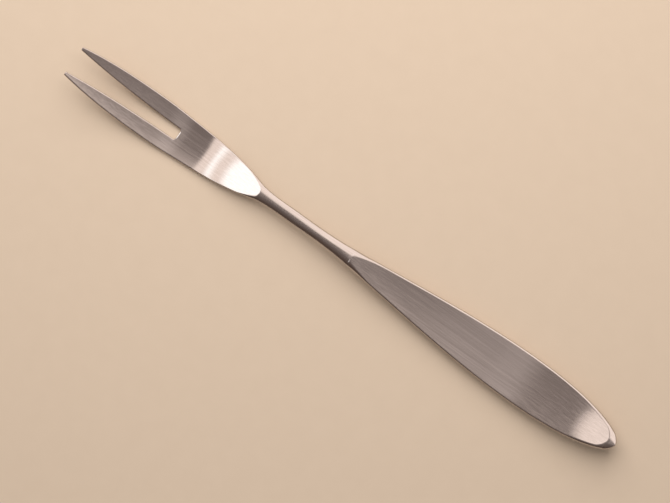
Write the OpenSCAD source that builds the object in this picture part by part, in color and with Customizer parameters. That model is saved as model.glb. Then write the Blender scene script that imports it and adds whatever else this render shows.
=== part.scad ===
// Two-tined meat fork of brushed stainless steel, lying face up on a table.
// The fork is one forging: tines, palm, waisted neck and a round tang.
// The handle is a second forging with a blind bore, and the tang is brazed into that bore.
// Places along the fork are measured from the butt of the handle towards the tine tips.

/* [Handle] */
// Length from the butt to the joint with the neck
handle_length = 103.5; // [95:0.5:115]
// Width at the widest place
handle_width = 16.6; // [14:0.2:20]
// Distance from the butt to the widest place
handle_widest_at = 36; // [28:1:45]
// Distance from the butt to the place where face and belly are lowest
handle_low_at = 47; // [40:1:55]
// Thickness at that lowest place
handle_thickness = 4.4; // [4.2:0.1:6]
// Rise of the face from there to the butt
butt_face_rise = 4.6; // [2:0.2:6]
// Rise of the belly from there to the butt
butt_belly_rise = 2; // [1:0.2:3]
// Length of the rounded end between the butt and the face
butt_round = 3.1; // [2.5:0.1:5]
// Length over which the end of the face rounds off at the butt
butt_arch = 2.6; // [1.6:0.1:4]
// Length over which the face narrows to its point at the neck
handle_arch = 11; // [8:0.5:16]
// Width of the rim beside the face
handle_rim = 0.65; // [0.4:0.05:0.9]
// Width of that rim near the butt
butt_rim = 1.2; // [0.9:0.05:1.4]
// Length over which the rim thins from the butt
butt_rim_fade = 16; // [10:1:24]
// Depth of the hollow across the face
handle_dish = 0.15; // [0.1:0.05:0.4]

/* [Neck] */
// Length from the joint to the point of the head's face
neck_length = 34.7; // [28:0.5:45]
// Width at the joint
joint_width = 5.6; // [5:0.1:7]
// Thickness at the joint
joint_thickness = 4.2; // [3.9:0.1:4.8]
// Width at the waist
waist_width = 4.4; // [3.8:0.1:5]
// Thickness at the waist
waist_thickness = 2.7; // [2.3:0.1:3.4]
// Distance from the joint to the waist
waist_at = 21; // [14:0.5:24]
// Width at the head
neck_head_width = 5.4; // [5:0.1:6.6]
// Thickness at the head
neck_head_thickness = 2.6; // [2.2:0.1:3.2]
// Height of the neck's middle above the table at the joint
joint_height = 4.6; // [4.3:0.1:5.2]
// Height of the neck's middle above the table at the head
neck_head_height = 4; // [3.7:0.1:4.6]
// Length of oval neck kept on the handle between the point of its face and the joint
shoulder_land = 0.9; // [0.5:0.1:2]

/* [Head] */
// Length from the point of the face to the tine tips
head_length = 71.8; // [62:1:85]
// Distance from the point of the face to the place where the palm is lowest
palm_low_at = 28; // [24:1:32]
// Width of the palm at that lowest place
palm_width = 13.8; // [11:0.1:16]
// Thickness of the palm at that lowest place
palm_thickness = 1.4; // [1.2:0.1:2]
// Distance from the point of the face to the widest place
head_widest_at = 41; // [36:1:46]
// Width at the widest place
head_width = 14.9; // [12:0.1:17]
// Length over which the face opens out from its point
head_arch = 7; // [5:0.5:12]
// Width of the rim beside the face
head_rim = 0.4; // [0.3:0.05:0.6]
// Rise of the face from the palm to the tips
tip_rise = 8.8; // [5:0.2:12]
// Thickness of a tine at its tip
tip_thickness = 1; // [0.8:0.1:1.4]
// Width of a tine at its tip
tip_width = 1.2; // [0.8:0.1:1.5]
// Depth of the hollow across the face
head_dish = 0.3; // [0.1:0.05:0.4]

/* [Slot] */
// Length of the tines from the root of the slot to the tips
tine_length = 39.8; // [32:0.2:44]
// Width of the slot at its root
slot_width = 3.7; // [3:0.1:4.5]
// Gap between the tine tips
tip_gap = 8.3; // [7:0.1:10.4]
// Radius of the corners at the root
slot_corner = 0.8; // [0.4:0.1:1.4]

/* [Tang joint] */
// Diameter of the tang
tang_diameter = 2.2; // [1.8:0.1:2.4]
// Length of the tang inside the handle
tang_length = 26; // [18:1:32]
// Thickness of the braze between tang and bore
braze_gap = 0.2; // [0.1:0.05:0.3]
// Depth of the braze past the end of the tang
braze_pool = 1; // [0.5:0.1:2]

/* [Curves] */
// Slope of the outline where the handle narrows into the neck
joint_taper = 0.1; // [0.06:0.01:0.14]
// Slope of the outline where the neck widens towards the head
neck_flare = 0.16; // [0.08:0.01:0.2]
// Slope of the outline where the head leaves the neck
head_flare = 0.3; // [0.22:0.01:0.36]
// Slope of the outline at the lowest place of the palm
palm_flare = 0.055; // [0.03:0.005:0.07]
// Slope of the outline where the tines narrow at their tips
tip_taper = 0.18; // [0.12:0.01:0.24]
// Slope of the handle's face where it runs out on the neck
handle_point_slope = 0.12; // [0.08:0.01:0.14]
// Slope of the head's face where it runs out on the neck
head_point_slope = 0.28; // [0.2:0.01:0.34]
// Slope of the neck's top where it meets the head
neck_rise = 0; // [-0.04:0.01:0.06]
// Slope of the belly at both ends of the neck
belly_slope = 0.05; // [0.03:0.01:0.07]
// Slope of the slot's sides at its root
slot_root_flare = 0.02; // [0:0.01:0.05]
// Slope of the slot's sides at the tips
slot_tip_flare = 0.12; // [0.08:0.01:0.15]
// Exponent of the butt's outline, where 2 is an ellipse and more is squarer
butt_full = 2.1; // [2:0.05:2.4]
// Exponent of the belly under handle and palm, where 2 is round and more is squarer
belly_full = 2.8; // [2.2:0.1:3.4]
// Depth of the rounded edge beside a face, as a share of the rim's width
edge_drop = 1.2; // [1:0.05:1.5]
// Largest depth of that rounded edge, and of the rounded end at the butt
edge_most = 1.4; // [1.1:0.1:1.6]
// Length behind the joint over which the handle's belly fills out
handle_fill = 33; // [20:1:40]
// Length over which the hollow of a face fades out towards its ends
dish_fade = 22; // [15:1:30]

/* [Resting] */
// Depth of the flats ground under the palm and under the handle
rest_flat = 0.12; // [0.05:0.01:0.2]

/* [Hidden] */
$fn = 64;

// Places along the fork
joint_at = handle_length;
handle_point_at = joint_at - shoulder_land;
neck_waist_at = joint_at + waist_at;
head_point_at = joint_at + neck_length;
palm_at = head_point_at + palm_low_at;
widest_at = head_point_at + head_widest_at;
tip_at = head_point_at + head_length;
slot_root_at = tip_at - tine_length;
overall_length = tip_at;

// Heights and half widths that several curves share
waist_height = (joint_height + neck_head_height) / 2;
handle_point_height = joint_height + joint_thickness / 2;
head_point_height = neck_head_height + neck_head_thickness / 2;
neck_fall = (head_point_height - handle_point_height) / (head_point_at - handle_point_at);
tip_half_width = tip_gap / 2 + tip_width;
tip_face_height = palm_thickness + tip_rise;

// Exponent of an oval belly
belly_round = 2;

// Mesh steps round a section: across the face, round each edge and round the belly
face_steps = 8;
side_steps = 4;
belly_steps = 18;
// Mesh steps along the handle: its rear part, its front part and the point of its face
rear_steps = 20;
front_steps = 9;
handle_point_steps = 8;
// Mesh steps along the fork: its neck, the point of its face and the rest of its head
neck_steps = 12;
head_point_steps = 8;
head_steps = 26;
// Mesh steps of the slot: each corner at the root and each side
corner_steps = 6;
slot_steps = 16;
// Narrowest flat along the top of the oval neck
least_face = 0.2;
// Largest share of the height above the middle that a rounded edge takes
edge_limit = 0.9;
// Share of a section's height at which the triangles of its cap meet
cap_share = 0.05;
// Blunt start of the rounded butt
end_trim = 0.05;
// Overlap that makes a cut or a union clean
over = 1;

bore_diameter = tang_diameter + 2 * braze_gap;
bore_depth = tang_length + braze_pool;

// Smooth curves through knots, where a knot is [place, value, slope]
function between(x, a, b) =
    let (span = b[0] - a[0], u = (x - a[0]) / span)
    a[1] * (2 * u ^ 3 - 3 * u ^ 2 + 1) + b[1] * (3 * u ^ 2 - 2 * u ^ 3)
    + span * (a[2] * (u ^ 3 - 2 * u ^ 2 + u) + b[2] * (u ^ 3 - u ^ 2));

function curve(x, knots, i = 0) =
    (i + 2 == len(knots) || x <= knots[i + 1][0])
    ? between(x, knots[i], knots[i + 1])
    : curve(x, knots, i + 1);

// Quarter-ellipse rise from 0 to 1 over a length, squarer where n is over 2
function round_in(d, length, n = 2) =
    d <= 0 ? 0 : d >= length ? 1 : (1 - (1 - d / length) ^ n) ^ (1 / n);

function ease(u) =
    let (v = min(1, max(0, u)))
    v * v * (3 - 2 * v);

// Half width of the outline
handle_width_knots = [
    [handle_widest_at, handle_width / 2, 0],
    [joint_at, joint_width / 2, -joint_taper],
    [neck_waist_at, waist_width / 2, 0],
    [head_point_at, neck_head_width / 2, neck_flare]
];
head_width_knots = [
    [head_point_at, neck_head_width / 2, head_flare],
    [palm_at, palm_width / 2, palm_flare],
    [widest_at, head_width / 2, 0],
    [tip_at, tip_half_width, -tip_taper]
];

function half_width(x) =
    x < handle_widest_at
    ? handle_width / 2 * round_in(x + end_trim, handle_widest_at + end_trim, butt_full)
    : curve(x, x < head_point_at ? handle_width_knots : head_width_knots);

// Height of the face and of the oval top of the neck
handle_face_knots = [
    [0, handle_thickness + butt_face_rise, -2 * butt_face_rise / handle_low_at],
    [handle_low_at, handle_thickness, 0],
    [handle_point_at, handle_point_height, handle_point_slope]
];
neck_top_knots = [
    [handle_point_at, handle_point_height, 0],
    [neck_waist_at, waist_height + waist_thickness / 2, neck_fall],
    [head_point_at, head_point_height, neck_rise]
];
head_face_knots = [
    [head_point_at, head_point_height, -head_point_slope],
    [palm_at, palm_thickness, 0],
    [tip_at, tip_face_height, 2 * tip_rise / (tip_at - palm_at)]
];

function face_height(x) =
    x < handle_point_at ? curve(x, handle_face_knots)
    : x < head_point_at ? curve(x, neck_top_knots)
    : curve(x, head_face_knots);

// Height of the belly, taken a little below the table where flats are ground
belly_knots = [
    [0, butt_belly_rise, -2 * butt_belly_rise / handle_low_at],
    [handle_low_at, -rest_flat, 0],
    [joint_at, joint_height - joint_thickness / 2, belly_slope],
    [neck_waist_at, waist_height - waist_thickness / 2, 0],
    [head_point_at, neck_head_height - neck_head_thickness / 2, -belly_slope],
    [palm_at, -rest_flat, 0],
    [tip_at, tip_face_height - tip_thickness, 2 * tip_rise / (tip_at - palm_at)]
];

function belly_height(x) = curve(x, belly_knots);

// Half width of the flat face, which narrows to a point at both ends of the neck
function face_half_width(x) =
    x < handle_point_at
    ? (half_width(x) - handle_rim_at(x)) * round_in(x - butt_round, butt_arch)
      * round_in(handle_point_at - x, handle_arch)
    : x < head_point_at ? 0
    : (half_width(x) - head_rim_at(x)) * round_in(x - head_point_at, head_arch);

// Rim beside the handle's face, which is thicker near the butt
function handle_rim_at(x) =
    butt_rim + (handle_rim - butt_rim) * ease((x - butt_round) / butt_rim_fade);

// Rim beside the head's face, which thins to a third of the tine at the tips
function head_rim_at(x) =
    head_rim - (head_rim - tip_width / 3) * ease((x - widest_at) / (tip_at - widest_at));

// Belly exponent: oval at the neck, fuller under the handle and the palm
function fullness(x) =
    let (
        handle_part = ease((joint_at - x) / handle_fill),
        head_part = ease((x - head_point_at) / palm_low_at)
    )
    belly_round + (belly_full - belly_round) * max(handle_part, head_part);

// Depth of the hollow across the face, fading out towards the butt and the neck
function dish(x) =
    x < head_point_at
    ? handle_dish * ease((x - butt_round) / dish_fade) * ease((handle_point_at - x) / dish_fade)
    : head_dish * ease((x - head_point_at) / dish_fade);

// One closed section across the fork, from the +Y edge of the face round to the +Y side
function section(x) =
    let (
        b = half_width(x),
        swell = round_in(x + end_trim, butt_round + end_trim),
        middle = (face_height(x) + belly_height(x)) / 2,
        end_fall = edge_most * (1 - swell),
        top = face_height(x) - end_fall,
        bottom = belly_height(x) + end_fall,
        w = max(min(least_face, b / 3), face_half_width(x)),
        rim = b - w,
        drop = min(edge_drop * rim, edge_most, edge_limit * (top - middle)),
        n = fullness(x)
    )
    concat(
        [for (i = [0:face_steps]) let (y = w * (1 - 2 * i / face_steps))
            [x, y, top - dish(x) * (1 - (y / w) ^ 2)]],
        [for (i = [1:side_steps]) let (a = 90 * i / side_steps)
            [x, -w - rim * sin(a), top - drop * (1 - cos(a))]],
        [for (i = [0:belly_steps]) let (a = 180 * i / belly_steps)
            [x, -b * sign(cos(a)) * abs(cos(a)) ^ (2 / n), middle - (middle - bottom) * sin(a) ^ (2 / n)]],
        [for (i = [0:side_steps - 1]) let (a = 90 * (1 - i / side_steps))
            [x, w + rim * sin(a), top - drop * (1 - cos(a))]]
    );

// Stations from a up to b, spaced evenly or crowded towards one end
function evenly(a, b, n) = [for (i = [0:n - 1]) a + (b - a) * i / n];
function crowded_from(a, b, n) = [for (i = [0:n - 1]) a + (b - a) * (i / n) ^ 2];
function crowded_to(a, b, n) = [for (i = [0:n - 1]) b - (b - a) * (1 - i / n) ^ 2];

handle_stations = concat(
    crowded_from(0, handle_low_at, rear_steps),
    evenly(handle_low_at, handle_point_at - handle_arch, front_steps),
    crowded_to(handle_point_at - handle_arch, handle_point_at, handle_point_steps),
    [handle_point_at, joint_at]
);
fork_stations = concat(
    evenly(joint_at, head_point_at, neck_steps),
    crowded_from(head_point_at, head_point_at + head_arch, head_point_steps),
    evenly(head_point_at + head_arch, tip_at, head_steps),
    [tip_at]
);

// Point low in a section, under the hollow of the face, where its cap's triangles meet
function low_in(ring) =
    let (heights = [for (p = ring) p[2]])
    [ring[0][0], 0, min(heights) + cap_share * (max(heights) - min(heights))];

// Solid skinned over the sections at the given stations
module skinned(stations) {
    rings = [for (x = stations) section(x)];
    count = len(rings[0]);
    last = len(rings) - 1;
    points = concat([for (ring = rings) each ring], [low_in(rings[0]), low_in(rings[last])]);
    sides = [for (r = [0:last - 1]) for (i = [0:count - 1])
        let (a = r * count + i, b = r * count + (i + 1) % count)
        each [[a, b + count, b], [a, a + count, b + count]]];
    near_cap = [for (i = [0:count - 1]) [i, (i + 1) % count, len(points) - 2]];
    far_cap = [for (i = [0:count - 1]) [last * count + (i + 1) % count, last * count + i, len(points) - 1]];
    polyhedron(points, concat(sides, near_cap, far_cap), convexity = 6);
}

// Everything below the table top
module below_table() {
    translate([-over, -handle_width, -2 * over])
        cube([overall_length + 2 * over, 2 * handle_width, 2 * over]);
}

// The tang leans so that its end lies midway between face and belly
tang_end_at = joint_at - tang_length;
tang_end_height = (face_height(tang_end_at) + belly_height(tang_end_at)) / 2;
tang_lean = atan((joint_height - tang_end_height) / tang_length);

// Round bar along the tang's axis, from a place ahead of the joint to a depth in the handle
module along_tang(diameter, ahead, depth) {
    translate([joint_at, 0, joint_height])
        rotate([0, -90 - tang_lean, 0])
            translate([0, 0, -ahead])
                cylinder(d = diameter, h = ahead + depth);
}

// Half gap of the slot
slot_knots = [
    [slot_root_at, slot_width / 2, slot_root_flare],
    [tip_at, tip_gap / 2, slot_tip_flare]
];

// Outline of the slot between the tines, open at the tips
module slot() {
    start = slot_root_at + slot_corner;
    side = concat(
        [for (i = [0:corner_steps - 1]) let (a = 90 * i / corner_steps)
            [start - slot_corner * cos(a), curve(start, slot_knots) - slot_corner * (1 - sin(a))]],
        [for (i = [0:slot_steps]) let (x = start + (tip_at + over - start) * i / slot_steps)
            [x, curve(x, slot_knots)]]
    );
    back = [for (i = [len(side) - 1:-1:0]) [side[i][0], -side[i][1]]];
    translate([0, 0, -over])
        linear_extrude(tip_face_height + 3 * over)
            polygon(concat(side, back));
}

// Origin under the middle of the fork
module centred() {
    translate([-overall_length / 2, 0, 0]) children();
}

// Tines, palm, neck and tang in one forging
module fork_forging() {
    color("#b9b3ae") centred() difference() {
        union() {
            skinned(fork_stations);
            along_tang(tang_diameter, over, tang_length);
        }
        slot();
        below_table();
    }
}

// Handle forging with the blind bore for the tang
module handle() {
    color("#a39b96") centred() difference() {
        skinned(handle_stations);
        along_tang(bore_diameter, over, bore_depth);
        below_table();
    }
}

// Braze that fills the bore round the tang
module tang_braze() {
    color("#c8b078") centred() difference() {
        along_tang(bore_diameter, over, bore_depth);
        along_tang(tang_diameter, 2 * over, tang_length);
        translate([joint_at, -handle_width, -handle_width])
            cube([4 * over, 2 * handle_width, 2 * handle_width]);
    }
}

fork_forging();
handle();
tang_braze();
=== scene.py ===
# %% [markdown]
# # A two-tined meat fork in brushed stainless steel
#
# The fork is two forgings. The first has the tines, the palm, the slim oval neck and a tang that
# nobody sees. The second is the handle, with a bore for the tang and braze between the two.
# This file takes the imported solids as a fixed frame, and rebuilds each forging with the fine
# edges and the brushed finish that a close look at real cutlery shows.

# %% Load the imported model
import math

import bmesh
import bpy
from mathutils import Matrix, Vector


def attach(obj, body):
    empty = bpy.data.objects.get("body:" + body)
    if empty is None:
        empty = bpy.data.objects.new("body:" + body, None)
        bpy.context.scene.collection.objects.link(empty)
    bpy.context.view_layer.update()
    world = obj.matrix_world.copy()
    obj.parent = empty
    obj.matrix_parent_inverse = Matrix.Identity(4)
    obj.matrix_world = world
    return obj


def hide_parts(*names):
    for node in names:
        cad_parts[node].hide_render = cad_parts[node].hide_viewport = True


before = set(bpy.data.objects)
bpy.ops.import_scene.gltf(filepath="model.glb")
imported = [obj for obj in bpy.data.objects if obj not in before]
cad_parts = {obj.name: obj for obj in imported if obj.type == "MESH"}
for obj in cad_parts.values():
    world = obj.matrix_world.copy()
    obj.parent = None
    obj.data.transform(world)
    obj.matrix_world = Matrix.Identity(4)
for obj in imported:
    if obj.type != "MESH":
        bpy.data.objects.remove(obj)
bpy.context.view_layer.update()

# %% [markdown]
# ## The camera
#
# The photograph looks straight down on the fork, which lies across the frame from the lower
# right to the upper left. Looking down, a camera needs no tilt, only a turn about the upright
# axis. A long lens from 0.9 m keeps the raised tips and the butt in proportion.

# %% Camera straight above the fork
MM = 0.001
CAMERA_HEIGHT = 0.9
CAMERA_TURN = math.radians(215.379)
CAMERA_ALONG, CAMERA_ACROSS = 2.892 * MM, 1.329 * MM
LENS_MM, SENSOR_MM = 151.55, 36
camera_data = bpy.data.cameras.new("overhead_camera")
camera_data.lens = LENS_MM
camera_data.sensor_width = SENSOR_MM
camera = bpy.data.objects.new("overhead_camera", camera_data)
camera.location = (CAMERA_ALONG, CAMERA_ACROSS, CAMERA_HEIGHT)
camera.rotation_euler = (0, 0, CAMERA_TURN)
bpy.context.scene.collection.objects.link(camera)
bpy.context.scene.camera = camera
bpy.context.scene.view_settings.view_transform = "Standard"
print("camera at", tuple(camera.location), "with a lens of", camera_data.lens, "mm")

# %% [markdown]
# ## The curves of the forgings
#
# A forger checks a fork with templates: one for its outline from above, one for its face and
# one for its belly, seen from the side. The same three curves shape it here. Each is a smooth
# curve through a few knots, and a knot is a place along the fork, a value there and a slope.
# Places are millimetres from the butt of the handle, so that they read like a drawing.

# %% Places along the fork
LENGTH = 210.0
BUTT_ROUND = 3.1
BUTT_ARCH = 2.6
HANDLE_WIDEST = 36.0
HANDLE_LOW = 47.0
HANDLE_POINT = 102.6
HANDLE_ARCH = 11.0
JOINT = 103.5
WAIST = 124.5
HEAD_POINT = 138.2
HEAD_ARCH = 7.0
PALM = 166.2
SLOT_ROOT = 170.2
HEAD_WIDEST = 179.2


def through(place, knots):
    """Value at a place on the smooth curve through knots of place, value and slope"""
    i = 0
    while i + 2 < len(knots) and place > knots[i + 1][0]:
        i += 1
    (x0, v0, s0), (x1, v1, s1) = knots[i], knots[i + 1]
    span = x1 - x0
    u = (place - x0) / span
    rise = u * u * (3 - 2 * u)
    return (v0 + (v1 - v0) * rise
            + span * (s0 * u * (1 - u) ** 2 - s1 * u * u * (1 - u)))


def round_in(run, length, power=2):
    """Quarter of an ellipse, from 0 up to 1 over a length; a power over 2 makes it squarer"""
    left = min(1.0, max(0.0, 1 - run / length))
    return (1 - left ** power) ** (1 / power)


def ease(u):
    """Gentle step from 0 to 1"""
    u = min(1.0, max(0.0, u))
    return u * u * (3 - 2 * u)


print("places run from the butt at 0 to the tips at", LENGTH, "mm")

# %% [markdown]
# The face sags from the butt to the low place of the handle, and rises from the palm to the tips,
# both as a parabola does. So the slope at the raised end is twice the mean slope. The belly is
# drawn a little below the table under the handle and the palm, and cut off level with it there,
# which makes the two flats that the fork rests on.

# %% Outline, face and belly
HANDLE_HALF, NECK_HALF, HEAD_START_HALF = 8.3, 2.2, 2.7
FACE_AT_BUTT, FACE_LOWEST, FACE_AT_POINT = 9.0, 4.4, 6.7
FACE_AT_HEAD, FACE_AT_PALM, FACE_AT_TIPS = 5.3, 1.4, 10.2
BELLY_AT_BUTT, BELLY_AT_FLATS, BELLY_AT_TIPS = 2.0, -0.12, 9.2
BUTT_SLOPE = 2 * (FACE_LOWEST - FACE_AT_BUTT) / HANDLE_LOW
BUTT_BELLY_SLOPE = -2 * BELLY_AT_BUTT / HANDLE_LOW
NECK_SLOPE = (FACE_AT_HEAD - FACE_AT_POINT) / (HEAD_POINT - HANDLE_POINT)
TIP_SLOPE = 2 * (FACE_AT_TIPS - FACE_AT_PALM) / (LENGTH - PALM)
HANDLE_OUTLINE = [(HANDLE_WIDEST, HANDLE_HALF, 0), (JOINT, 2.8, -0.1), (WAIST, NECK_HALF, 0),
                  (HEAD_POINT, HEAD_START_HALF, 0.16)]
HEAD_OUTLINE = [(HEAD_POINT, HEAD_START_HALF, 0.3), (PALM, 6.9, 0.055), (HEAD_WIDEST, 7.45, 0),
                (LENGTH, 5.35, -0.18)]
HANDLE_FACE = [(0, FACE_AT_BUTT, BUTT_SLOPE), (HANDLE_LOW, FACE_LOWEST, 0),
               (HANDLE_POINT, FACE_AT_POINT, 0.12)]
NECK_TOP = [(HANDLE_POINT, FACE_AT_POINT, 0), (WAIST, 5.65, NECK_SLOPE), (HEAD_POINT, FACE_AT_HEAD, 0)]
HEAD_FACE = [(HEAD_POINT, FACE_AT_HEAD, -0.28), (PALM, FACE_AT_PALM, 0),
             (LENGTH, FACE_AT_TIPS, TIP_SLOPE)]
BELLY = [(0, BELLY_AT_BUTT, BUTT_BELLY_SLOPE), (HANDLE_LOW, BELLY_AT_FLATS, 0), (JOINT, 2.5, 0.05),
         (WAIST, 2.95, 0), (HEAD_POINT, 2.7, -0.05), (PALM, BELLY_AT_FLATS, 0),
         (LENGTH, BELLY_AT_TIPS, TIP_SLOPE)]
BUTT_FULL = 2.1
END_TRIM = 0.005


def half_width(place):
    """Half the width of the fork"""
    if place < HANDLE_WIDEST:
        return HANDLE_HALF * round_in(place + END_TRIM, HANDLE_WIDEST + END_TRIM, BUTT_FULL)
    return through(place, HANDLE_OUTLINE if place < HEAD_POINT else HEAD_OUTLINE)


def face_height(place):
    """Height of the face, or of the top of the neck"""
    if place < HANDLE_POINT:
        return through(place, HANDLE_FACE)
    return through(place, NECK_TOP if place < HEAD_POINT else HEAD_FACE)


def belly_height(place):
    """Height of the belly's curve, before the flats are cut"""
    return through(place, BELLY)


print("handle is", 2 * HANDLE_HALF, "mm wide; neck is", 2 * half_width(WAIST), "mm at its waist")

# %% [markdown]
# ## One section across the fork
#
# The face is a flat panel, a little hollow, with a thin rounded rim beside it. It runs to a point
# at both ends of the neck, so the sections of the neck are oval. The belly is round under the neck
# and squarer under the handle and the palm. Only half of a section is drawn, from the middle of the
# face down to the middle of the belly, because the other half mirrors it. The rim is a rounded
# edge, a little deeper than it is wide. No real edge is perfectly sharp, and this thin strip is
# what catches the light.

# %% The face, its hollow and the slot
BUTT_RIM, HANDLE_RIM, HEAD_RIM = 1.2, 0.65, 0.4
BUTT_RIM_FADE = 16.0
HANDLE_HOLLOW, HEAD_HOLLOW = 0.15, 0.3
HOLLOW_FADE = 22.0
BELLY_FADE, BELLY_SQUARER = 33.0, 0.8
SLOT_SIDES = [(SLOT_ROOT, 1.85, 0.02), (LENGTH, 4.15, 0.12)]
SLOT_CORNER = 0.8
SLOT_START = SLOT_ROOT + SLOT_CORNER


def face_half_width(place):
    """Half the width of the flat face, 0 where the section is oval"""
    if place < HANDLE_POINT:
        thinning = ease((place - BUTT_ROUND) / BUTT_RIM_FADE)
        rim = BUTT_RIM + (HANDLE_RIM - BUTT_RIM) * thinning
        return ((half_width(place) - rim) * round_in(place - BUTT_ROUND, BUTT_ARCH)
                * round_in(HANDLE_POINT - place, HANDLE_ARCH))
    return max(0.0, half_width(place) - HEAD_RIM) * round_in(place - HEAD_POINT, HEAD_ARCH)


def face_hollow(place):
    """Depth of the hollow across the face"""
    if place > HEAD_POINT:
        return HEAD_HOLLOW * ease((place - HEAD_POINT) / HOLLOW_FADE)
    return (HANDLE_HOLLOW * ease((place - BUTT_ROUND) / HOLLOW_FADE)
            * ease((HANDLE_POINT - place) / HOLLOW_FADE))


def belly_power(place):
    """Exponent of the belly's curve: 2 is round"""
    full = max(ease((JOINT - place) / BELLY_FADE),
               ease((place - HEAD_POINT) / (PALM - HEAD_POINT)))
    return 2 + BELLY_SQUARER * full


def slot_half_width(place):
    """Half the gap between the tines, with a rounded corner at the root"""
    straight = through(max(place, SLOT_START), SLOT_SIDES)
    back = min(1.0, max(0.0, (SLOT_START - place) / SLOT_CORNER))
    return straight - SLOT_CORNER * (1 - math.sqrt(1 - back * back))


print("slot is", 2 * slot_half_width(SLOT_START), "mm wide at its root")

# %% Half a section, from the middle of the face to the middle of the belly
FACE_COLUMNS = 5
EDGE_STEPS = 9
SIDE_STEPS = 2
BELLY_STEPS = 11
EDGE_DROP, EDGE_MOST, EDGE_LIMIT = 1.2, 1.4, 0.9
GUARD = 0.4
COLUMN_SHARE = 0.16


def inner_column(place, reach):
    """Where the column beside the slot runs, on a face or belly that reaches so far out"""
    if place >= SLOT_ROOT:
        return slot_half_width(place)
    if place >= HEAD_POINT:
        return slot_half_width(SLOT_ROOT) * reach / half_width(SLOT_ROOT)
    return COLUMN_SHARE * reach


def half_section(place):
    """Points of (across, height) in millimetres down one half of the section"""
    half, flat = half_width(place), face_half_width(place)
    swell = round_in(place + END_TRIM, BUTT_ROUND + END_TRIM)
    middle = (face_height(place) + belly_height(place)) / 2
    end_fall = EDGE_MOST * (1 - swell)
    top = face_height(place) - end_fall
    depth = middle - belly_height(place) - end_fall
    hollow, power = face_hollow(place), belly_power(place)
    inner = inner_column(place, flat)
    guard = min(GUARD, (flat - inner) / 3)
    first, last = inner + guard, flat - guard / 2
    across = [0.0, inner]
    across += [first + (last - first) * i / (FACE_COLUMNS - 1) for i in range(FACE_COLUMNS)]
    points = [(y, top - hollow * (1 - (y / flat) ** 2 if flat else 1)) for y in across + [flat]]
    rim = half - flat
    drop = min(EDGE_DROP * rim, EDGE_MOST, EDGE_LIMIT * (top - middle))
    for i in range(1, EDGE_STEPS + 1):
        angle = math.pi / 2 * i / EDGE_STEPS
        points.append((flat + rim * math.sin(angle), top - drop * (1 - math.cos(angle))))
    for i in range(1, SIDE_STEPS + 1):
        points.append((half, top - drop + (middle - top + drop) * i / SIDE_STEPS))
    under = math.acos((inner_column(place, half) / half) ** (power / 2))
    for i in range(1, BELLY_STEPS + 1):
        angle = under * i / BELLY_STEPS
        points.append((half * math.cos(angle) ** (2 / power),
                       max(0.0, middle - depth * math.sin(angle) ** (2 / power))))
    return points + [(0.0, max(0.0, middle - depth))]


POINTS = len(half_section(PALM))
FACE_EDGE = FACE_COLUMNS + 2
print("half a section has", POINTS, "points; number", FACE_EDGE, "is the edge of the face")

# %% [markdown]
# ## Drawing a forging out, section by section
#
# A smith draws a bar out and shapes it as it grows. In Blender the like of that is to extrude a
# chain of edges and move the new ones to the next section. It is done here with
# `extrude_edge_only`, which makes the faces by itself. A chain starts as half of a circle.
# Where the face ends in a point, all its points meet there, and are merged afterwards.

# %% Chains of edges that grow along the fork
MERGE = 0.001 * MM
CIRCLE_SLACK = 1e-4


def in_frame(place, across, height):
    """A point in the frame's metres, from millimetres along the fork"""
    return Vector(((place - LENGTH / 2) * MM, across * MM, height * MM))


def first_chain(bm, place):
    """Half a circle, moved to the section at a place"""
    made = bmesh.ops.create_circle(bm, cap_ends=False, segments=2 * (POINTS - 1), radius=1)
    unwanted = [v for v in made["verts"] if v.co.x < -CIRCLE_SLACK]
    bmesh.ops.delete(bm, geom=unwanted, context="VERTS")
    chain = sorted(bm.verts, key=lambda v: -v.co.y)
    for vert, (across, height) in zip(chain, half_section(place)):
        vert.co = in_frame(place, across, height)
    return chain


def draw_out(bm, chain, places, keep=slice(None)):
    """Extrudes a chain to the sections at the given places; keep says which points go along"""
    rows = [chain[keep]]
    for place in places:
        old = rows[-1]
        edges = [bm.edges.get(pair) for pair in zip(old, old[1:])]
        made = bmesh.ops.extrude_edge_only(bm, edges=edges)["geom"]
        fresh = {v for v in made if isinstance(v, bmesh.types.BMVert)}
        row = [next(e.other_vert(v) for e in v.link_edges if e.other_vert(v) in fresh) for v in old]
        for vert, (across, height) in zip(row, half_section(place)[keep]):
            vert.co = in_frame(place, across, height)
        rows.append(row)
    return rows


def stations(start, end, count, crowd=1.0):
    """Places after start up to end, crowded towards start where crowd is over 1"""
    return [start + (end - start) * (i / count) ** crowd for i in range(1, count + 1)]


def closing_stations(start, end, count):
    """Places after start up to end, crowded towards end"""
    return [end - (end - start) * (1 - i / count) ** 2 for i in range(1, count + 1)]


def mirror_half(bm):
    """Closes the seams of one half of a piece and adds the other half"""
    bmesh.ops.remove_doubles(bm, verts=bm.verts, dist=MERGE)
    bmesh.ops.mirror(bm, geom=bm.verts[:] + bm.edges[:] + bm.faces[:], axis="Y", merge_dist=MERGE)


print("a chain has", POINTS - 1, "edges")

# %% [markdown]
# ## The brushing
#
# Cutlery is brushed along its length with a fine abrasive belt. The scratches make it mirror
# sharply along the fork and smear light across it. A Principled shader does that with its
# anisotropy, which needs a direction on the surface. A UV map gives one: its U runs across the
# scratches on every face, and a Tangent node reads it. A face that looks straight along the fork
# has no such direction of its own and takes the Y axis.

# %% UV map whose U runs across the brushing
LENGTHWISE, CROSSWISE = Vector((1, 0, 0)), Vector((0, 1, 0))
ENDWAYS = 0.05


def lay_brushing(bm):
    """Lays the UV map on every face"""
    brushing = bm.loops.layers.uv.new("brushing")
    for face in bm.faces:
        across = face.normal.cross(LENGTHWISE)
        across = CROSSWISE if across.length < ENDWAYS else across.normalized()
        for loop in face.loops:
            loop[brushing].uv = (loop.vert.co.dot(across), loop.vert.co.x)


SHARP = math.radians(40)


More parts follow.
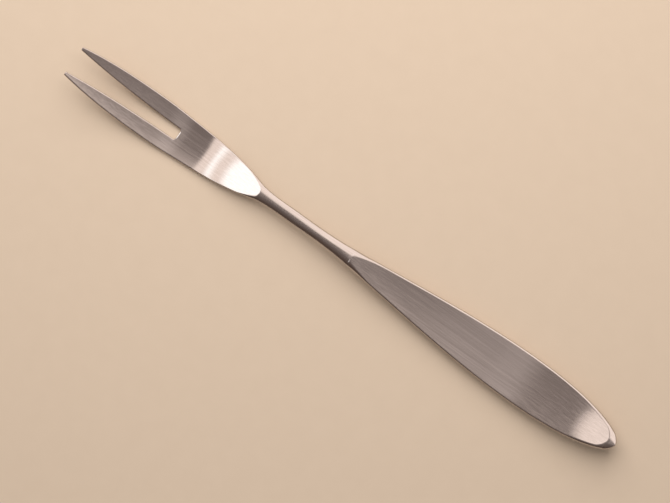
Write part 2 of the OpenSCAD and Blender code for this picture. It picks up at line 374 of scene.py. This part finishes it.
def make_piece(bm, name, material, point=None):
    """Turns a bmesh into an object, smooth except at sharp edges and round the point of a face"""
    bmesh.ops.remove_doubles(bm, verts=bm.verts, dist=MERGE)
    bmesh.ops.recalc_face_normals(bm, faces=bm.faces)
    bm.normal_update()
    for face in bm.faces:
        face.smooth = True
    for edge in bm.edges:
        at_point = point and all(abs(v.co.x - in_frame(point, 0, 0).x) < MERGE for v in edge.verts)
        edge.smooth = edge.calc_face_angle(0) < SHARP and not at_point
    lay_brushing(bm)
    mesh = bpy.data.meshes.new(name)
    bm.to_mesh(mesh)
    open_edges = sum(not e.is_manifold for e in bm.edges)
    print(name, "has", len(bm.faces), "faces,", open_edges, "open edges and",
          round(bm.calc_volume() / MM ** 3), "cubic mm")
    bm.free()
    mesh.materials.append(material)
    piece = bpy.data.objects.new(name, mesh)
    bpy.context.scene.collection.objects.link(piece)
    return piece


print("edges sharper than", round(math.degrees(SHARP)), "degrees stay crisp")

# %% [markdown]
# ## Colours and nodes
#
# Colours are written as they look on a screen and turned to the linear values that a shader
# needs. One small function adds a node with its options and inputs. Another uses it to mix two
# colours, with the numbers of the colour sockets on Blender's Mix node.

# %% Helpers for materials
PAPER_TONE = "#DAC2AA"
MIX_FIRST, MIX_SECOND, MIX_RESULT = 6, 7, 2


def linear(code):
    """Linear RGBA of an sRGB hex colour"""
    parts = [int(code[i:i + 2], 16) / 255 for i in (1, 3, 5)]
    light = [c / 12.92 if c <= 0.04045 else ((c + 0.055) / 1.055) ** 2.4 for c in parts]
    return (*light, 1.0)


def add_node(tree, kind, options=None, inputs=None):
    """Adds a node; inputs are values or the sockets of other nodes"""
    node = tree.nodes.new(kind)
    for name, value in (options or {}).items():
        setattr(node, name, value)
    for name, value in (inputs or {}).items():
        if isinstance(value, bpy.types.NodeSocket):
            tree.links.new(value, node.inputs[name])
        else:
            node.inputs[name].default_value = value
    return node


def mix_colours(tree, factor, first, second):
    """Socket with two colours mixed by a factor"""
    node = add_node(tree, "ShaderNodeMix", {"data_type": "RGBA"}, {
        "Factor": factor, MIX_FIRST: first, MIX_SECOND: second})
    return node.outputs[MIX_RESULT]


def new_material(name):
    """An empty node material"""
    material = bpy.data.materials.new(name)
    material.use_nodes = True
    material.node_tree.nodes.clear()
    return material, material.node_tree


print("floor colour", PAPER_TONE, "is", linear(PAPER_TONE), "in linear light")

# %% [markdown]
# ## Stainless steel, brushed lengthwise
#
# Chromium steel is a warm light grey. Belt grit of about 0.05 mm leaves scratches far finer
# than a pixel of the picture, so they are drawn 0.5 mm wide here to show at all. Each runs for
# about 40 mm along the fork. They vary the roughness and the tone a little, and lift the
# surface by up to three micrometres.

# %% Brushed stainless steel
steel, tree = new_material("stainless_steel_brushed_lengthwise")
SCRATCH_WIDTH, SCRATCH_LENGTH, SCRATCH_HEIGHT = 0.5 * MM, 40 * MM, 0.003 * MM
place = add_node(tree, "ShaderNodeTexCoord")
scratch_scale = add_node(tree, "ShaderNodeMapping", inputs={
    "Vector": place.outputs["Object"],
    "Scale": (1 / SCRATCH_LENGTH, 1 / SCRATCH_WIDTH, 1 / SCRATCH_WIDTH)})
scratches = add_node(tree, "ShaderNodeTexNoise", inputs={
    "Vector": scratch_scale.outputs["Vector"], "Scale": 1.0, "Detail": 3.0, "Roughness": 0.6})
tone = mix_colours(tree, scratches.outputs["Fac"], linear("#B6AEA9"), linear("#D6CFCA"))
gloss = add_node(tree, "ShaderNodeMapRange", inputs={
    "Value": scratches.outputs["Fac"], "From Min": 0.3, "From Max": 0.7,
    "To Min": 0.11, "To Max": 0.14})
relief = add_node(tree, "ShaderNodeBump", inputs={
    "Height": scratches.outputs["Fac"], "Distance": SCRATCH_HEIGHT, "Strength": 1.0})
across = add_node(tree, "ShaderNodeTangent", {"direction_type": "UV_MAP", "uv_map": "brushing"})
surface = add_node(tree, "ShaderNodeBsdfPrincipled", inputs={
    "Base Color": tone, "Metallic": 1.0, "Roughness": gloss.outputs["Result"],
    "Anisotropic": 1.0, "Tangent": across.outputs["Tangent"], "Normal": relief.outputs["Normal"]})
add_node(tree, "ShaderNodeOutputMaterial", inputs={"Surface": surface.outputs["BSDF"]})
print("scratches are", SCRATCH_WIDTH / MM, "mm wide and", SCRATCH_LENGTH / MM, "mm long")

# %% [markdown]
# ## Silver braze
#
# The braze flows into the bore as a pale golden liquid and sets with a grainy skin. It is shut
# in between tang and handle, so it only needs a plain honest finish.

# %% Silver braze, as flowed
braze, tree = new_material("silver_braze_as_flowed")
GRAIN = 0.4 * MM
place = add_node(tree, "ShaderNodeTexCoord")
grains = add_node(tree, "ShaderNodeTexNoise", inputs={
    "Vector": place.outputs["Object"], "Scale": 1 / GRAIN, "Detail": 2.0})
tone = mix_colours(tree, grains.outputs["Fac"], linear("#B79E6C"), linear("#D8C592"))
surface = add_node(tree, "ShaderNodeBsdfPrincipled", inputs={
    "Base Color": tone, "Metallic": 1.0, "Roughness": 0.4})
add_node(tree, "ShaderNodeOutputMaterial", inputs={"Surface": surface.outputs["BSDF"]})
print("braze grains are", GRAIN / MM, "mm")

# %% [markdown]
# ## The fork forging
#
# The chain starts at the point where the face of the head runs out on the neck. From there it
# is drawn out forwards over the palm to the tips, and backwards along the neck with only the
# points of its side and belly. At the root of the slot the middle of the chain stays behind,
# so the slot is open from the start, and its walls are bridged between face and belly.

# %% Palm, tines and neck
ARCH_STEPS = 16
PALM_STEPS, CORNER_STEPS, TINE_STEPS, NECK_STEPS = 20, 7, 32, 26
fork_bm = bmesh.new()
start = first_chain(fork_bm, HEAD_POINT)
palm_places = stations(HEAD_POINT, HEAD_POINT + HEAD_ARCH, ARCH_STEPS, crowd=2)
palm_places += stations(HEAD_POINT + HEAD_ARCH, SLOT_ROOT - GUARD, PALM_STEPS) + [SLOT_ROOT]
palm_rows = draw_out(fork_bm, start, palm_places)
corner_places = [SLOT_START - SLOT_CORNER * math.cos(math.pi / 2 * i / CORNER_STEPS)
                 for i in range(1, CORNER_STEPS + 1)]
tine_places = corner_places + stations(SLOT_START, LENGTH - GUARD, TINE_STEPS) + [LENGTH]
tine_rows = draw_out(fork_bm, palm_rows[-1], tine_places, keep=slice(1, -1))
neck_places = stations(HEAD_POINT, JOINT, NECK_STEPS)
neck_rows = draw_out(fork_bm, start, neck_places, keep=slice(FACE_EDGE, None))
print("forging drawn out in", len(palm_rows) + len(tine_rows) + len(neck_rows), "sections")

# %% Walls of the slot, tips and the other half
def edges_along(bm, verts):
    """Edges between each vertex and the next"""
    return [bm.edges.get(pair) for pair in zip(verts, verts[1:])]


root_row = palm_rows[-1]
slot_top = [root_row[0]] + [row[0] for row in tine_rows]
slot_bottom = [root_row[-1]] + [row[-1] for row in tine_rows]
wall_edges = edges_along(fork_bm, slot_top) + edges_along(fork_bm, slot_bottom)
bmesh.ops.bridge_loops(fork_bm, edges=wall_edges)
tip_row = tine_rows[-1]
bmesh.ops.contextual_create(fork_bm, geom=edges_along(fork_bm, tip_row + [tip_row[0]]))
mirror_half(fork_bm)
bmesh.ops.recalc_face_normals(fork_bm, faces=fork_bm.faces)
print("slot wall has", len(slot_top) - 1, "faces on each side")

# %% [markdown]
# The edges of the slot and of the tips come square from the press. Tumbling breaks them by about
# a third of a millimetre, which shows as a thin bright line round the slot. The tips are so small
# that theirs are broken less.

# %% Broken edges of slot and tips
SLOT_BREAK, TIP_BREAK = 0.35 * MM, 0.15 * MM
BREAK_STEPS = 4
TIP_SLACK = 0.05


def square_edges(bm):
    """Sharp edges of the slot, and sharp edges at the tips"""
    sharp = [e for e in bm.edges if e.is_manifold and e.calc_face_angle(0) > SHARP]
    tips_begin = in_frame(LENGTH - TIP_SLACK, 0, 0).x
    at_tips = [e for e in sharp if min(v.co.x for v in e.verts) > tips_begin]
    return [e for e in sharp if e not in at_tips], at_tips


def break_edges(bm, edges, offset, clamp):
    """Rounds edges off; clamp keeps the new faces from running into each other"""
    bmesh.ops.bevel(bm, geom=edges, affect="EDGES", offset=offset, segments=BREAK_STEPS, profile=0.5,
                    material=-1, clamp_overlap=clamp)


slot_edges = square_edges(fork_bm)[0]
break_edges(fork_bm, slot_edges, SLOT_BREAK, False)
tip_edges = square_edges(fork_bm)[1]
break_edges(fork_bm, tip_edges, TIP_BREAK, True)
print(len(slot_edges), "edges of the slot broken by", SLOT_BREAK / MM, "mm,",
      len(tip_edges), "at the tips by up to", TIP_BREAK / MM, "mm")

# %% [markdown]
# ## The tang and its bore
#
# The tang is a round pin on the end of the neck. It leans a little, so that its end lies midway
# between face and belly of the handle. Tang and bore are made alike: the ring at the joint is drawn
# in to a circle, and the circle is pushed in. The bore is a little wider and deeper, and the sleeve
# of braze between them starts as two circles.

# %% A round pushed into the handle from the joint
JOINT_HEIGHT = 4.6
TANG_RADIUS, BORE_RADIUS = 1.1, 1.3
TANG_LENGTH, BORE_DEPTH = 26.0, 27.0
tang_end = JOINT - TANG_LENGTH
tang_end_height = (face_height(tang_end) + belly_height(tang_end)) / 2
tang_way = (in_frame(tang_end, 0, tang_end_height) - in_frame(JOINT, 0, JOINT_HEIGHT)).normalized()


def joint_circle(bm, radius, segments):
    """Edges of an upright circle at the joint"""
    upright = Matrix.Rotation(math.pi / 2, 4, "Y")
    at_joint = Matrix.Translation(in_frame(JOINT, 0, JOINT_HEIGHT)) @ upright
    made = bmesh.ops.create_circle(bm, cap_ends=False, segments=segments, radius=radius * MM,
                                   matrix=at_joint)
    return list({e for v in made["verts"] for e in v.link_edges})


def push_in(bm, edges, depth):
    """Extrudes a circle along the tang's axis and closes its end"""
    made = bmesh.ops.extrude_edge_only(bm, edges=edges)["geom"]
    end = [v for v in made if isinstance(v, bmesh.types.BMVert)]
    bmesh.ops.translate(bm, verts=end, vec=tang_way * depth * MM)
    rim = [e for e in made if isinstance(e, bmesh.types.BMEdge) and all(v in end for v in e.verts)]
    bmesh.ops.contextual_create(bm, geom=rim)


def fit_round(bm, radius, depth):
    """Draws the open ring at the joint in to a circle, and pushes that in to a depth"""
    ring = [e for e in bm.edges if e.is_boundary]
    made = bmesh.ops.extrude_edge_only(bm, edges=ring)["geom"]
    inner = {v for v in made if isinstance(v, bmesh.types.BMVert)}
    centre = in_frame(JOINT, 0, JOINT_HEIGHT)
    for vert in inner:
        vert.co = centre + (vert.co - centre).normalized() * radius * MM
    circle = [e for v in inner for e in v.link_edges if e.is_boundary and e.verts[0] is v]
    push_in(bm, circle, depth)
    return len(ring)


sides = fit_round(fork_bm, TANG_RADIUS, TANG_LENGTH)
print("tang is", 2 * TANG_RADIUS, "mm thick, with", sides, "sides")

# %% The finished fork forging
fork = make_piece(fork_bm, "fork_forging_brushed", steel, point=HEAD_POINT)
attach(fork, "root")
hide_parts("fork_forging")

# %% [markdown]
# ## The handle
#
# The handle is drawn out the same way, from the place where its face begins at the butt. It
# grows forwards to the joint, and backwards over the butt, which is rounded off like a bullnose.
# The face closes in a point just before the joint.

# %% Handle from butt to joint
FACE_STEPS, POINT_STEPS, BUTT_STEPS = 44, 18, 16
arch_end, point_start = BUTT_ROUND + BUTT_ARCH, HANDLE_POINT - HANDLE_ARCH
handle_bm = bmesh.new()
start = first_chain(handle_bm, BUTT_ROUND)
face_places = stations(BUTT_ROUND, arch_end, ARCH_STEPS, crowd=2)
face_places += stations(arch_end, point_start, FACE_STEPS)
face_places += closing_stations(point_start, HANDLE_POINT, POINT_STEPS)
face_rows = draw_out(handle_bm, start, face_places)
draw_out(handle_bm, face_rows[-1], [JOINT], keep=slice(FACE_EDGE, None))
draw_out(handle_bm, start, closing_stations(BUTT_ROUND, 0, BUTT_STEPS), keep=slice(FACE_EDGE, None))
mirror_half(handle_bm)
butt_start = in_frame(BUTT_ROUND, 0, 0).x
butt_ring = [e for e in handle_bm.edges if e.is_boundary and e.verts[0].co.x < butt_start]
bmesh.ops.contextual_create(handle_bm, geom=butt_ring)
fit_round(handle_bm, BORE_RADIUS, BORE_DEPTH)
handle = make_piece(handle_bm, "handle_brushed", steel, point=HANDLE_POINT)
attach(handle, "root")
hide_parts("handle")

# %% [markdown]
# ## The braze
#
# What fills the bore round the tang is a thin sleeve with a closed end.

# %% Sleeve of braze
braze_bm = bmesh.new()
SLEEVE_SIDES = 48
outside = joint_circle(braze_bm, BORE_RADIUS, SLEEVE_SIDES)
inside = joint_circle(braze_bm, TANG_RADIUS, SLEEVE_SIDES)
bmesh.ops.bridge_loops(braze_bm, edges=outside + inside)
push_in(braze_bm, outside, BORE_DEPTH)
push_in(braze_bm, inside, TANG_LENGTH)
sleeve = make_piece(braze_bm, "tang_braze_sleeve", braze)
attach(sleeve, "root")
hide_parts("tang_braze")

# %% [markdown]
# ## The floor
#
# The fork lies on warm cream paper. Paper is matt, and its fibres make its tone uneven by a
# hair. It is put a twentieth of a millimetre under the fork, so that the flats don't lie in the
# same plane as the paper.

# %% Cream paper floor
FIBRE = 6 * MM
FLOOR_HALF, FLOOR_HEIGHT = 3, -0.05 * MM
paper, tree = new_material("cream_paper_matt")
place = add_node(tree, "ShaderNodeTexCoord")
fibres = add_node(tree, "ShaderNodeTexNoise", inputs={
    "Vector": place.outputs["Object"], "Scale": 1 / FIBRE, "Detail": 4.0})
tone = mix_colours(tree, fibres.outputs["Fac"], linear("#D8C0A8"), linear("#DCC4AC"))
surface = add_node(tree, "ShaderNodeBsdfPrincipled", inputs={
    "Base Color": tone, "Roughness": 0.9, "Specular IOR Level": 0.1})
add_node(tree, "ShaderNodeOutputMaterial", inputs={"Surface": surface.outputs["BSDF"]})
floor_bm = bmesh.new()
bmesh.ops.create_grid(floor_bm, x_segments=1, y_segments=1, size=FLOOR_HALF)
bmesh.ops.translate(floor_bm, verts=floor_bm.verts, vec=(0, 0, FLOOR_HEIGHT))
floor_mesh = bpy.data.meshes.new("paper_floor")
floor_bm.to_mesh(floor_mesh)
floor_bm.free()
floor_mesh.materials.append(paper)
floor = bpy.data.objects.new("paper_floor", floor_mesh)
bpy.context.scene.collection.objects.link(floor)
print("floor is", 2 * FLOOR_HALF, "m square")

# %% [markdown]
# ## The light
#
# What steel looks like is mostly what it mirrors. The studio has a warm grey ceiling, and a large
# diffuser with two lamps behind it, whose straight edge lies about 11 degrees past the upright. They
# are a ramp along the fork, because brushed steel smears whatever lies across it. A second ramp
# runs across: a light wall on one side of the fork and a dark one on the other, which give the
# neck and the rims a light and a dark side. A stop is a place, a tone and how far it covers what
# lies behind it. The diffuser hangs in front of the walls, and fades out towards its sides.

# %% Ramps over directions in the room
world = bpy.data.worlds.new("studio_room")
bpy.context.scene.world = world
world.use_nodes = True
tree = world.node_tree
tree.nodes.clear()
place = add_node(tree, "ShaderNodeTexCoord")
towards = add_node(tree, "ShaderNodeSeparateXYZ", inputs={"Vector": place.outputs["Generated"]})
TONES = {"ceiling": ("#A89C98", 1), "pale ceiling": ("#C0B4B0", 1), "shaded ceiling": ("#988C88", 1),
         "diffuser": ("#FFF0E8", 1.4), "lamp": ("#FFFFFF", 2),
         "light wall": ("#FFF0E8", 1.5), "dark wall": ("#807470", 1), "darkest wall": ("#605048", 1)}
CEILING = [(-0.4, "ceiling", 0), (-0.1, "ceiling", 0), (-0.05, "pale ceiling", 0),
           (0.0, "pale ceiling", 0), (0.05, "shaded ceiling", 0), (0.18, "shaded ceiling", 0),
           (0.2, "diffuser", 1), (0.25, "diffuser", 1), (0.28, "lamp", 1), (0.32, "diffuser", 1),
           (0.36, "diffuser", 1), (0.4, "lamp", 1)]
DIFFUSER_FADE = (0.4, 0.6)
WALLS = [(-1.0, "light wall", 1), (-0.25, "light wall", 1), (-0.15, "light wall", 0),
         (0.1, "dark wall", 0), (0.3, "dark wall", 1), (0.8, "darkest wall", 1)]


def room_ramp(direction, stops):
    """A colour ramp over one coordinate of the direction, with stops of place, tone and cover"""
    low, high = stops[0][0], stops[-1][0]
    share = add_node(tree, "ShaderNodeMapRange", inputs={
        "Value": direction, "From Min": low, "From Max": high})
    ramp = add_node(tree, "ShaderNodeValToRGB", inputs={"Fac": share.outputs["Result"]})
    elements = ramp.color_ramp.elements
    while len(elements) < len(stops):
        elements.new(1.0)
    for stop, (at, tone, cover) in zip(elements, stops):
        code, strength = TONES[tone]
        stop.position = (at - low) / (high - low)
        stop.color = [c * strength for c in linear(code)[:3]] + [cover]
    return ramp


ceiling = room_ramp(towards.outputs["X"], CEILING)
walls = room_ramp(towards.outputs["Y"], WALLS)
walled = mix_colours(tree, walls.outputs["Alpha"], ceiling.outputs["Color"], walls.outputs["Color"])
sideways = add_node(tree, "ShaderNodeMath", {"operation": "ABSOLUTE"}, {0: towards.outputs["Y"]})
overhead = add_node(tree, "ShaderNodeMapRange", inputs={
    "Value": sideways.outputs["Value"], "From Min": DIFFUSER_FADE[0], "From Max": DIFFUSER_FADE[1],
    "To Min": 1.0, "To Max": 0.0})
cover = add_node(tree, "ShaderNodeMath", {"operation": "MULTIPLY"}, {
    0: overhead.outputs["Result"], 1: ceiling.outputs["Alpha"]})
mirrored = mix_colours(tree, cover.outputs["Value"], walled, ceiling.outputs["Color"])
print("room has", len(CEILING), "stops along the fork and", len(WALLS), "across it")

# %% [markdown]
# The paper is lit by a broad soft light beyond the top of the picture, as from a large window, and
# by an even fill. So the shadow falls softly down the picture and shows along the lower left side
# of the fork. Only mirrored rays see the ramps; the camera sees the colour of the paper where the
# floor ends.

# %% Window light, fill and what each ray sees
PICTURE_UP = Vector((-math.sin(CAMERA_TURN), math.cos(CAMERA_TURN), 0))
WINDOW_BEYOND, WINDOW_HEIGHT = 0.3, 0.4
WINDOW_SIZE, WINDOW_WATTS = 0.6, 3.05
FILL = 0.35
window = bpy.data.objects.new("window", bpy.data.lights.new("window", "AREA"))
window.data.size = WINDOW_SIZE
window.data.energy = WINDOW_WATTS
window.location = PICTURE_UP * WINDOW_BEYOND + Vector((0, 0, WINDOW_HEIGHT))
window.rotation_euler = window.location.to_track_quat("Z", "Y").to_euler()
window.visible_glossy = False
bpy.context.scene.collection.objects.link(window)
ray = add_node(tree, "ShaderNodeLightPath")
lit = mix_colours(tree, ray.outputs["Is Glossy Ray"], (FILL, FILL, FILL, 1), mirrored)
seen = mix_colours(tree, ray.outputs["Is Camera Ray"], lit, linear(PAPER_TONE))
background = add_node(tree, "ShaderNodeBackground", inputs={"Color": seen})
add_node(tree, "ShaderNodeOutputWorld", inputs={"Surface": background.outputs["Background"]})
print("window is", window.data.size, "m wide and", round(window.location.length, 2), "m away")
